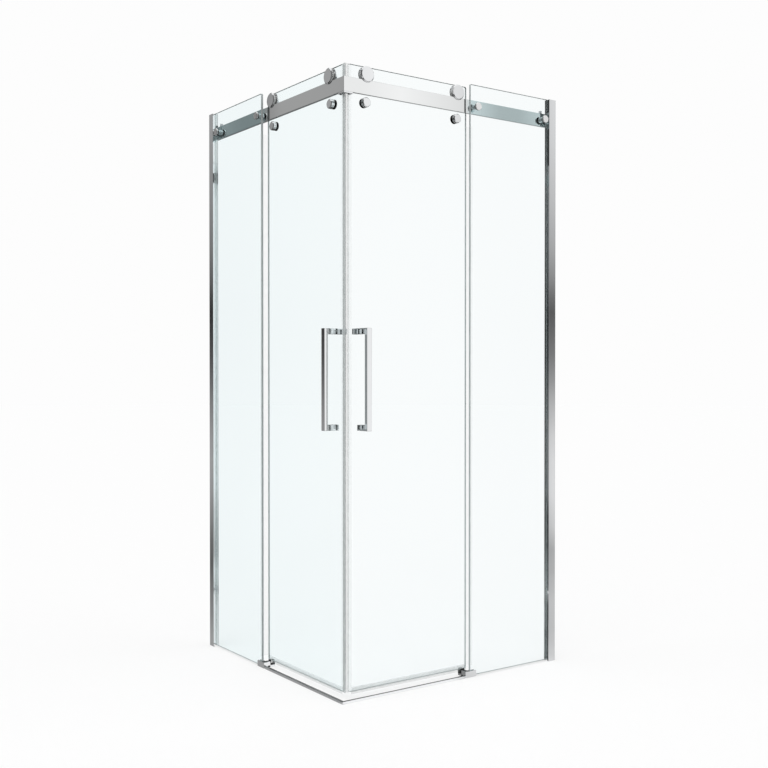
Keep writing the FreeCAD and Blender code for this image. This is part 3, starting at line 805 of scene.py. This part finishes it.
class SHOWER_OT_rail_bolts(bpy.types.Operator):
    """Cap-headed bolts through the fixed panes, with the distance rings behind them"""

    bl_idname = "shower.rail_bolts"
    bl_label = "Rail bolts"

    def bolts(self):
        low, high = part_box("right_rail_bolts")
        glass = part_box("right_fixed_glass")[0].y
        head = half_height(low, high)
        bevel = sizes().disc_bevel
        room = 0.0005
        shank = sizes().bolt_hole - room
        outline = [(0, low.y), (head - bevel, low.y), (head, low.y + bevel), (head, glass),
                   (shank, glass), (shank, high.y), (0, high.y)]
        return turned_pair("rail_bolts", outline, edge=sizes().disc_edge)

    def rings(self):
        low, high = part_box("right_rail_spacers")
        outline = washer(sizes().bolt_hole, half_height(low, high), low, high)
        return turned_pair("rail_spacers", outline, ring=True, edge=sizes().disc_edge)

    def execute(self, context):
        both_walls("cap_bolts", self.bolts, "frame", "chrome_trim", (satin_chrome,), "rail_bolts")
        both_walls("bolt_rings", self.rings, "frame", "chrome_trim", (bright_chrome,), "rail_spacers")
        return {"FINISHED"}


class SHOWER_OT_rollers(bpy.types.Operator):
    """Chrome roller discs, pins, back plates and dome nuts"""

    bl_idname = "shower.rollers"
    bl_label = "Rollers"

    def discs(self):
        low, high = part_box("right_roller_caps")
        radius = half_height(low, high)
        bevel = sizes().cap_bevel
        fall = 0.8 * bevel
        outline = [(0, low.y), (radius - bevel, low.y), (radius, low.y + fall), (radius, high.y),
                   (0, high.y)]
        return turned_pair("roller_caps", outline, edge=sizes().disc_edge)

    def pins(self):
        low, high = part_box("right_roller_axles")
        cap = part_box("right_roller_caps")[1].y
        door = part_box("right_door_glass")[0].y
        thick = half_height(low, high)
        room = 0.001
        thin = sizes().pin_hole - room
        outline = [(0, low.y), (thin, low.y), (thin, cap), (thick, cap), (thick, door), (thin, door),
                   (thin, high.y), (0, high.y)]
        return turned_pair("roller_axles", outline)

    def plates(self):
        low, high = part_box("right_roller_back_discs")
        inner = half_height(*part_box("right_roller_axles"))
        outline = washer(inner, half_height(low, high), low, high)
        return turned_pair("roller_back_discs", outline, ring=True, edge=sizes().disc_edge)

    def nuts(self):
        low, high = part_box("right_roller_nuts")
        radius = half_height(low, high)
        deep = high.y - low.y
        dome = [(share * radius, low.y + rise * deep)
                for share, rise in ((1.0, 0.62), (0.92, 0.80), (0.70, 0.93), (0.36, 1.0))]
        outline = [(0, low.y), (radius, low.y), *dome, (0, high.y)]
        return turned_pair("roller_nuts", outline, edge=0.4 * sizes().disc_edge)

    def execute(self, context):
        both_walls("roller_discs", self.discs, "{side}_door", "chrome_trim", (bright_chrome,), "roller_caps")
        both_walls("roller_pins", self.pins, "{side}_door", "bearing_steel", (plain_steel,), "roller_axles")
        both_walls("roller_plates", self.plates, "{side}_door", "chrome_trim", (bright_chrome,),
                   "roller_back_discs")
        both_walls("dome_nuts", self.nuts, "{side}_door", "chrome_trim", (bright_chrome,), "roller_nuts")
        return {"FINISHED"}


class SHOWER_OT_wheels(bpy.types.Operator):
    """Nylon tyres on shielded bearings, which turn on the rails"""

    bl_idname = "shower.wheels"
    bl_label = "Wheels"

    def tyre(self, place):
        low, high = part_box(f"right_{place}_wheel_tyre")
        middle = (low + high) / 2
        outer = half_height(low, high)
        seat = half_height(*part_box(f"right_{place}_wheel_bearing"))
        chamfer = 0.0012
        shoulder = outer - chamfer
        outline = [(seat, low.y), (shoulder, low.y), (outer, low.y + chamfer), (outer, high.y - chamfer),
                   (shoulder, high.y), (seat, high.y)]
        shape = turned(outline, Vector((middle.x, 0, middle.z)), ring=True)
        return soften(shape, sizes().disc_edge / 2, 2)

    def race(self, place):
        low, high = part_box(f"right_{place}_wheel_bearing")
        middle = (low + high) / 2
        outer = half_height(low, high)
        room = 0.00004
        inner = half_height(*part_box("right_roller_axles")) + room
        wall = 0.3 * (outer - inner)
        sunk = 0.0006
        outline = [(inner, low.y), (inner + wall, low.y), (inner + wall, low.y + sunk),
                   (outer - wall, low.y + sunk), (outer - wall, low.y), (outer, low.y), (outer, high.y),
                   (outer - wall, high.y), (outer - wall, high.y - sunk), (inner + wall, high.y - sunk),
                   (inner + wall, high.y), (inner, high.y)]
        return turned(outline, Vector((middle.x, 0, middle.z)), ring=True)

    def execute(self, context):
        for place in ("near", "far"):
            body = "{side}_" + place + "_wheel"
            both_walls(f"{place}_tyre", lambda: self.tyre(place), body, "wheel_plastic", (wheel_nylon,),
                       f"{place}_wheel_tyre")
            both_walls(f"{place}_race", lambda: self.race(place), body, "bearing_steel", (plain_steel,),
                       f"{place}_wheel_bearing")
        return {"FINISHED"}


class SHOWER_OT_lift_studs(bpy.types.Operator):
    """Chrome studs under the rails and their black rings inside the doors"""

    bl_idname = "shower.lift_studs"
    bl_label = "Anti-lift studs"

    def studs(self):
        low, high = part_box("right_anti_lift_studs")
        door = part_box("right_door_glass")[0].y
        radius = half_height(low, high)
        bevel = sizes().stud_bevel
        room = 0.001
        shank = sizes().bolt_hole - room
        groove = door - 0.003
        step = 0.0006
        neck = radius - 0.001
        outline = [(0, low.y), (radius - bevel, low.y), (radius, low.y + bevel), (radius, groove - 2 * step),
                   (neck, groove - step), (neck, groove), (radius, groove + step), (radius, door),
                   (shank, door), (shank, high.y), (0, high.y)]
        return turned_pair("anti_lift_studs", outline, edge=0.4 * sizes().disc_edge)

    def rings(self):
        low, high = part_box("right_stud_nuts")
        radius = half_height(low, high)
        deep = high.y - low.y
        chamfer = high.y - 0.3 * deep
        sunk = high.y - 0.2 * deep
        outline = [(0, low.y), (radius, low.y), (radius, chamfer), (0.9 * radius, high.y),
                   (0.45 * radius, high.y), (0.38 * radius, sunk), (0, sunk)]
        return turned_pair("stud_nuts", outline, edge=0.5 * sizes().disc_edge)

    def execute(self, context):
        both_walls("lift_studs", self.studs, "{side}_door", "chrome_trim", (bright_chrome,),
                   "anti_lift_studs")
        both_walls("stud_rings", self.rings, "{side}_door", "black_plastic", (black_moulding,), "stud_nuts")
        return {"FINISHED"}


class SHOWER_OT_handles(bpy.types.Operator):
    """Flat pull bars on square posts, with a knob and a cap inside each door"""

    bl_idname = "shower.handles"
    bl_label = "Handles"

    def bar(self):
        return soften(block(*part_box("right_handle_bar")), sizes().chrome_edge)

    def posts(self):
        low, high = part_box("right_handle_posts")
        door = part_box("right_door_glass")[0].y
        width = high.x - low.x
        room = 0.001
        screw = sizes().pin_hole - room
        shapes = []
        for bottom in (low.z, high.z - width):
            arm = block(Vector((low.x, low.y, bottom)), Vector((high.x, door, bottom + width)))
            shapes.append(soften(arm, sizes().chrome_edge))
            rod = [(0, door), (screw, door), (screw, high.y), (0, high.y)]
            shapes.append(turned(rod, Vector((low.x + width / 2, 0, bottom + width / 2))))
        return together(*shapes)

    def knob(self):
        return soften(block(*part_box("right_inner_knob")), sizes().chrome_edge)

    def cap(self):
        return soften(block(*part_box("right_handle_cap")), sizes().chrome_edge)

    def execute(self, context):
        pieces = (("pull_bar", self.bar, "handle_bar"), ("pull_posts", self.posts, "handle_posts"),
                  ("pull_knob", self.knob, "inner_knob"), ("pull_cap", self.cap, "handle_cap"))
        for name, build, node in pieces:
            both_walls(name, build, "{side}_door", "chrome_trim", (bright_chrome,), node)
        return {"FINISHED"}


class SHOWER_OT_seals(bpy.types.Operator):
    """Clear seals where the doors meet, along their lower edges and on the fixed panes"""

    bl_idname = "shower.seals"
    bl_label = "Seals"

    def filmed(self, shape, at, way):
        """Give the clear film finish to the legs that lie on the glass beyond a plane."""
        everything = shape.verts[:] + shape.edges[:] + shape.faces[:]
        bmesh.ops.bisect_plane(shape, geom=everything, plane_co=at, plane_no=way)
        for face in shape.faces:
            face.material_index = int((face.calc_center_median() - at).dot(way) > 0)
        return shape

    def meeting(self):
        low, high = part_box("right_leading_edge_seal")
        glass_low, glass_high = glass_slot("door_glass")
        slant = high.y - low.y
        outline = [(low.x, low.y), (high.x, low.y), (high.x, glass_low.y), (glass_low.x, glass_low.y),
                   (glass_low.x, glass_high.y), (high.x, glass_high.y), (high.x, high.y),
                   (low.x + slant, high.y)]
        shape = soften(upright_prism(outline, low.z, high.z), sizes().seal_edge, 2)
        return self.filmed(shape, glass_low, Vector((1, 0, 0)))

    def drip(self):
        low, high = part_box("right_bottom_seal")
        glass_low, glass_high = glass_slot("door_glass")
        wall = 0.0025
        web = glass_low.z - wall
        middle = (low.y + high.y) / 2
        lip = 0.001
        outline = [(low.y, high.z), (low.y, web), (middle - lip, web), (middle - lip, low.z),
                   (middle + lip, low.z), (middle + lip, web), (high.y, web), (high.y, high.z),
                   (glass_high.y, high.z), (glass_high.y, glass_low.z), (glass_low.y, glass_low.z),
                   (glass_low.y, high.z)]
        return soften(level_prism(outline, low.x, high.x), sizes().seal_edge, 2)

    def gap(self):
        low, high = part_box("right_overlap_seal")
        glass_low, glass_high = glass_slot("fixed_glass")
        wall = glass_low.y - low.y
        inner = glass_high.y + wall
        edge = glass_low.x
        outline = [(low.x, low.y), (high.x, low.y), (high.x, glass_low.y), (edge, glass_low.y),
                   (edge, glass_high.y), (high.x, glass_high.y), (high.x, inner), (edge, inner),
                   (edge, high.y), (low.x, high.y)]
        return soften(upright_prism(outline, low.z, high.z), 0.6 * sizes().seal_edge, 2)

    def execute(self, context):
        # The left door's meeting seal takes the darker copy with painted shade, the right door's the lighter
        # copy
        meeting = {"right": (milky_seal, clear_film), "left": (shaded_seal_copy, clear_film)}
        both_walls("meeting_seal", self.meeting, "{side}_door", "clear_seal", meeting, "leading_edge_seal")
        both_walls("drip_seal", self.drip, "{side}_door", "clear_seal", (drip_strip,), "bottom_seal")
        both_walls("gap_seal", self.gap, "frame", "clear_seal", (clear_film,), "overlap_seal")
        return {"FINISHED"}


class SHOWER_OT_floor_guides(bpy.types.Operator):
    """Chrome clamps on the fixed panes' lower corners and the black shoes that steer the doors"""

    bl_idname = "shower.floor_guides"
    bl_label = "Floor guides"

    def clamp(self):
        low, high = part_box("right_guide_clamp")
        shoe_low, shoe_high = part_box("right_guide_shoe")
        glass_low, glass_high = glass_slot("fixed_glass")
        wall = glass_low.y - low.y
        back = glass_high.y + wall
        edge = sizes().chrome_edge
        nose = soften(block(low, Vector((glass_low.x, back, high.z))), edge)
        jaws = [(low.y, low.z), (back, low.z), (back, high.z), (glass_high.y, high.z),
                (glass_high.y, glass_low.z), (glass_low.y, glass_low.z), (glass_low.y, high.z),
                (low.y, high.z)]
        grip = soften(level_prism(jaws, glass_low.x, high.x), edge)
        root = Vector((shoe_low.x, glass_high.y, low.z))
        neck = soften(block(root, Vector((shoe_high.x, shoe_low.y, high.z))), edge)
        arm = soften(block(root, Vector((shoe_high.x, high.y, shoe_low.z))), edge)
        return together(nose, grip, neck, arm)

    def shoe(self):
        low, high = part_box("right_guide_shoe")
        seal_low, seal_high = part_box("right_bottom_seal")
        room = 0.0006
        floor = low.z + 0.003
        outline = [(low.y, low.z), (high.y, low.z), (high.y, high.z), (seal_high.y + room, high.z),
                   (seal_high.y + room, floor), (seal_low.y - room, floor), (seal_low.y - room, high.z),
                   (low.y, high.z)]
        return soften(level_prism(outline, low.x, high.x), sizes().disc_edge)

    def execute(self, context):
        both_walls("floor_clamp", self.clamp, "frame", "chrome_trim", (bright_chrome,), "guide_clamp")
        both_walls("floor_shoe", self.shoe, "frame", "black_plastic", (black_moulding,), "guide_shoe")
        return {"FINISHED"}


class SHOWER_OT_sills(bpy.types.Operator):
    """Low chrome strips on the floor, mitred at a rounded corner"""

    bl_idname = "shower.sills"
    bl_label = "Sills"

    def strip(self):
        low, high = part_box("right_sill")
        shape = block(low, high)
        near = 1e-5
        corner = [edge for edge in shape.edges
                  if all(vert.co.x < low.x + near and vert.co.y < low.y + near for vert in edge.verts)]
        bmesh.ops.bevel(shape, geom=corner, offset=sizes().sill_corner, affect="EDGES", segments=8,
                        profile=0.5, material=-1)
        soften(shape, sizes().chrome_edge)
        return mitre(shape, low.y)

    def execute(self, context):
        both_walls("floor_sill", self.strip, "frame", "chrome_trim", (bright_chrome,), "sill")
        return {"FINISHED"}


class SHOWER_OT_stage(bpy.types.Operator):
    """Floor, white background, reflector cards, lamps and camera"""

    bl_idname = "shower.stage"
    bl_label = "Stage"

    # Level of the card ring by height in metres, and of the ground card by distance
    RING = ((0.0, 1.0), (0.27, 0.9), (0.62, 0.66), (0.9, 0.42), (1.2, 0.24), (1.5, 0.15), (1.69, 0.1),
            (1.87, 0.19), (2.05, 0.33), (2.4, 0.53), (2.93, 0.73), (3.65, 0.93), (4.1, 1.0))
    GROUND = ((0.0, 1.0), (0.75, 1.0), (1.1, 0.75), (1.6, 0.58), (2.0, 0.44), (2.3, 0.39), (2.8, 0.53),
              (3.3, 0.67), (3.9, 0.83), (4.7, 0.9), (5.7, 1.0))
    # Level of the cards by bearing in degrees, and how far the level by height counts there
    BEARING = ((-180, 0.2), (-128.5, 0.12), (-127, 0.68), (-121.5, 0.68), (-120, 0.12), (-106, 0.12),
               (-100, 0.5), (-78, 0.62), (-66, 1.05), (-59.6, 0.93), (-56.3, 1.02), (-51.5, 0.82),
               (-49.5, 0.54), (-47, 0.54), (-45.6, 0.87), (28, 0.9), (40, 0.4), (55, 0.35), (57, 0.15),
               (66, 0.15), (70, 0.3), (100, 0.2), (117.7, 0.43), (118.4, 0.27), (121.3, 0.27), (122, 0.38),
               (126.6, 0.375), (127.3, 0.33), (129.0, 0.33), (130.0, 0.05), (150, 0.03), (180, 0.2))
    DEPTH = ((-180, 0.0), (-52, 0.0), (-47.5, 0.94), (126.6, 1.0), (127.3, 0.0), (129.0, 0.0), (130.0, 1.0),
             (150, 1.0), (156, 0.0), (180, 0.0))
    # Level of the ground card before the left-hand and the right-hand wall, with the line between them
    FRONT = (0.36, 1.04)
    FRONT_LINE = (-0.03, 0.03)
    # Share of that level by place along the right-hand wall
    ALONG = ((-9.0, 1.0), (0.03, 1.0), (0.06, 0.68), (0.13, 0.68), (0.17, 1.0), (0.38, 1.0), (0.44, 0.66),
             (0.62, 0.66), (1.0, 0.9), (1.3, 1.2), (1.6, 1.75), (2.2, 1.4), (9.0, 1.0))
    # Level of the ground card inside the walls, by place along a slanted direction
    INSIDE = ((-0.3, 0.97), (-0.183, 0.97), (-0.173, 0.25), (-0.14, 0.25), (-0.11, 0.08), (0.3, 0.08))
    SLANT = (0.895, 0.446)
    # Where the inside starts, and the distances over which the level by bearing takes over from both
    INSIDE_LINE = (-0.437, -0.431)
    FAR_LINE = (1.5, 3.0)
    # Least share by distance, and the bearings over which it fades out
    LEAST_SHARE = (0.74, 0.0)
    LEAST_LINE = (-64.0, -60.0)
    # Steps round the floor and the cards, their sizes and how far they lie below the sills
    ROUND_STEPS = 96
    FLOOR_RADIUS = 30.0
    FLOOR_DROP = 0.0004
    CARD_HEIGHT = 12.0
    CARD_DROP = 0.0002
    # Directions and strengths of the wide lamps
    LAMPS = (("key_lamp", (-0.72, -0.20, 0.66), 2.2), ("fill_lamp", (0.42, -0.62, 0.66), 1.0))
    LAMP_ANGLE = math.radians(70)

    def seen(self, tree):
        """One for the rays that should find the white background."""
        path = add(tree, "ShaderNodeLightPath").outputs
        some = calc(tree, "ADD", path["Is Camera Ray"], path["Is Glossy Ray"])
        return calc(tree, "ADD", some, path["Is Transmission Ray"], use_clamp=True)

    def world(self, context):
        world = bpy.data.worlds.new("studio")
        world.use_nodes = True
        context.scene.world = world
        tree = world.node_tree
        tree.nodes.clear()
        even = add(tree, "ShaderNodeBackground", {"Color": (1, 1, 1, 1), "Strength": studio().daylight})
        white = add(tree, "ShaderNodeBackground", {"Color": (1, 1, 1, 1), "Strength": studio().background})
        mix = add(tree, "ShaderNodeMixShader", {0: self.seen(tree), 1: even.outputs[0], 2: white.outputs[0]})
        add(tree, "ShaderNodeOutputWorld", {"Surface": mix.outputs[0]})

    def staged(self, context, name, shape, material):
        mesh = bpy.data.meshes.new(name)
        shape.to_mesh(mesh)
        shape.free()
        mesh.materials.append(material)
        obj = bpy.data.objects.new(name, mesh)
        context.scene.collection.objects.link(obj)
        return obj

    def disc(self, radius, drop):
        shape = bmesh.new()
        bmesh.ops.create_circle(shape, cap_ends=True, segments=self.ROUND_STEPS, radius=radius,
                                matrix=Matrix.Translation((0, 0, -drop)))
        return shape

    def floor(self, context):
        """A white floor of which shadows can take away a share."""
        material, tree, shader = new_finish("studio_floor", {"Roughness": 1.0, "Specular IOR Level": 0.0})
        shade = studio().floor_shade
        grain = use(tree, moulded_grain, Scale=90.0)
        fill(tree, shader, Base_Color=two_tones(tree, grain["Drift"], (shade, shade, shade, 1), 0.995))
        rest = studio().background - shade * studio().floor_light
        glow = add(tree, "ShaderNodeEmission", {"Strength": calc(tree, "MULTIPLY", self.seen(tree), rest)})
        both = add(tree, "ShaderNodeAddShader", {0: shader.outputs[0], 1: glow.outputs[0]})
        tree.links.new(both.outputs[0], tree.nodes["Material Output"].inputs["Surface"])
        self.staged(context, "studio_floor", self.disc(self.FLOOR_RADIUS, self.FLOOR_DROP), material)

    def card_material(self, name, level):
        """A card that only reflections see; level builds its brightness from the place and bearing."""
        material = bpy.data.materials.new(name)
        material.use_nodes = True
        material.cycles.emission_sampling = "NONE"
        tree = material.node_tree
        tree.nodes.clear()
        place = add(tree, "ShaderNodeTexCoord").outputs["Object"]
        parts = add(tree, "ShaderNodeSeparateXYZ", {0: place}).outputs
        bearing = calc(tree, "DEGREES", calc(tree, "ARCTAN2", parts["Y"], parts["X"]))
        glow = add(tree, "ShaderNodeEmission", {"Strength": level(tree, place, bearing)})
        clear = add(tree, "ShaderNodeBsdfTransparent")
        mix = add(tree, "ShaderNodeMixShader", {0: mirrored(tree), 1: clear.outputs[0], 2: glow.outputs[0]})
        add(tree, "ShaderNodeOutputMaterial", {"Surface": mix.outputs[0]})
        return material

    def ring_level(self, tree, place, bearing):
        height = add(tree, "ShaderNodeSeparateXYZ", {0: place}).outputs["Z"]
        lost = calc(tree, "SUBTRACT", 1.0, stepped(tree, height, self.RING))
        counted = calc(tree, "MULTIPLY", stepped(tree, bearing, self.DEPTH), lost)
        kept = calc(tree, "SUBTRACT", 1.0, counted)
        return calc(tree, "MULTIPLY", stepped(tree, bearing, self.BEARING), kept)

    def ground_level(self, tree, place, bearing):
        parts = add(tree, "ShaderNodeSeparateXYZ", {0: place}).outputs
        x, y = parts["X"], parts["Y"]
        distance = add(tree, "ShaderNodeVectorMath", {0: place}, operation="LENGTH").outputs["Value"]
        across = calc(tree, "SUBTRACT", x, y)
        front = calc(tree, "MULTIPLY", ramp(tree, across, *self.FRONT_LINE, *self.FRONT),
                     stepped(tree, x, self.ALONG))
        slanted = calc(tree, "ADD", calc(tree, "MULTIPLY", x, self.SLANT[0]),
                       calc(tree, "MULTIPLY", y, self.SLANT[1]))
        within = ramp(tree, calc(tree, "MINIMUM", x, y), *self.INSIDE_LINE)
        near = blend(tree, within, front, stepped(tree, slanted, self.INSIDE))
        level = blend(tree, ramp(tree, distance, *self.FAR_LINE), near, stepped(tree, bearing, self.BEARING))
        least = ramp(tree, bearing, *self.LEAST_LINE, *self.LEAST_SHARE)
        spread = calc(tree, "MAXIMUM", stepped(tree, distance, self.GROUND), least)
        return calc(tree, "MULTIPLY", level, spread)

    def cards(self, context):
        far = studio().card_distance
        ring = bmesh.new()
        bmesh.ops.create_cone(ring, cap_ends=False, segments=self.ROUND_STEPS, radius1=far, radius2=far,
                              depth=self.CARD_HEIGHT,
                              matrix=Matrix.Translation((0, 0, self.CARD_HEIGHT / 2)))
        ground = self.disc(far, self.CARD_DROP)
        for name, shape, level in (("card_ring", ring, self.ring_level),
                                   ("card_ground", ground, self.ground_level)):
            card = self.staged(context, name, shape, self.card_material(name, level))
            card.visible_camera = False
            card.visible_diffuse = False
            card.visible_shadow = False

    def lamps(self, context):
        for name, way, strength in self.LAMPS:
            light = bpy.data.lights.new(name, "SUN")
            light.angle = self.LAMP_ANGLE
            light.energy = strength
            lamp = bpy.data.objects.new(name, light)
            lamp.rotation_euler = Vector(way).to_track_quat("Z", "Y").to_euler()
            lamp.visible_glossy = False
            lamp.visible_transmission = False
            context.scene.collection.objects.link(lamp)

    def camera(self, context):
        lens = bpy.data.cameras.new("photo_camera")
        lens.sensor_width = 36.0
        lens.lens = studio().camera_lens
        lens.clip_end = 200.0
        camera = bpy.data.objects.new("photo_camera", lens)
        camera.location = studio().camera_place
        camera.rotation_euler = Vector(studio().camera_aim).to_track_quat("-Z", "Y").to_euler()
        context.scene.collection.objects.link(camera)
        context.scene.camera = camera

    def execute(self, context):
        context.scene.view_settings.view_transform = "Standard"
        self.world(context)
        self.floor(context)
        self.cards(context)
        self.lamps(context)
        self.camera(context)
        return {"FINISHED"}


OPERATORS = (SHOWER_OT_glass_panels, SHOWER_OT_wall_profiles, SHOWER_OT_rails, SHOWER_OT_rail_bolts,
             SHOWER_OT_rollers, SHOWER_OT_wheels, SHOWER_OT_lift_studs, SHOWER_OT_handles, SHOWER_OT_seals,
             SHOWER_OT_floor_guides, SHOWER_OT_sills, SHOWER_OT_stage)
SETTINGS = {"shower_sizes": ShowerSizes, "shower_colours": ShowerColours, "shower_studio": ShowerStudio}


class VIEW3D_PT_shower(bpy.types.Panel):
    """The enclosure's pieces and settings"""

    bl_label = "Shower enclosure"
    bl_idname = "VIEW3D_PT_shower"
    bl_space_type = "VIEW_3D"
    bl_region_type = "UI"
    bl_category = "Shower"

    def draw(self, context):
        for operator in OPERATORS:
            self.layout.operator(operator.bl_idname)
        for name, group in SETTINGS.items():
            box = self.layout.box()
            for setting in group.__annotations__:
                box.prop(getattr(context.scene, name), setting)


CLASSES = (*SETTINGS.values(), *OPERATORS, VIEW3D_PT_shower)


def register():
    for cls in CLASSES:
        bpy.utils.register_class(cls)
    for name, group in SETTINGS.items():
        setattr(bpy.types.Scene, name, PointerProperty(type=group))


def unregister():
    for name in SETTINGS:
        delattr(bpy.types.Scene, name)
    for cls in reversed(CLASSES):
        bpy.utils.unregister_class(cls)


def main():
    register()
    bpy.ops.shower.glass_panels()
    bpy.ops.shower.wall_profiles()
    bpy.ops.shower.rails()
    bpy.ops.shower.rail_bolts()
    bpy.ops.shower.rollers()
    bpy.ops.shower.wheels()
    bpy.ops.shower.lift_studs()
    bpy.ops.shower.handles()
    bpy.ops.shower.seals()
    bpy.ops.shower.floor_guides()
    bpy.ops.shower.sills()
    bpy.ops.shower.stage()


if __name__ == "__main__":
    main()
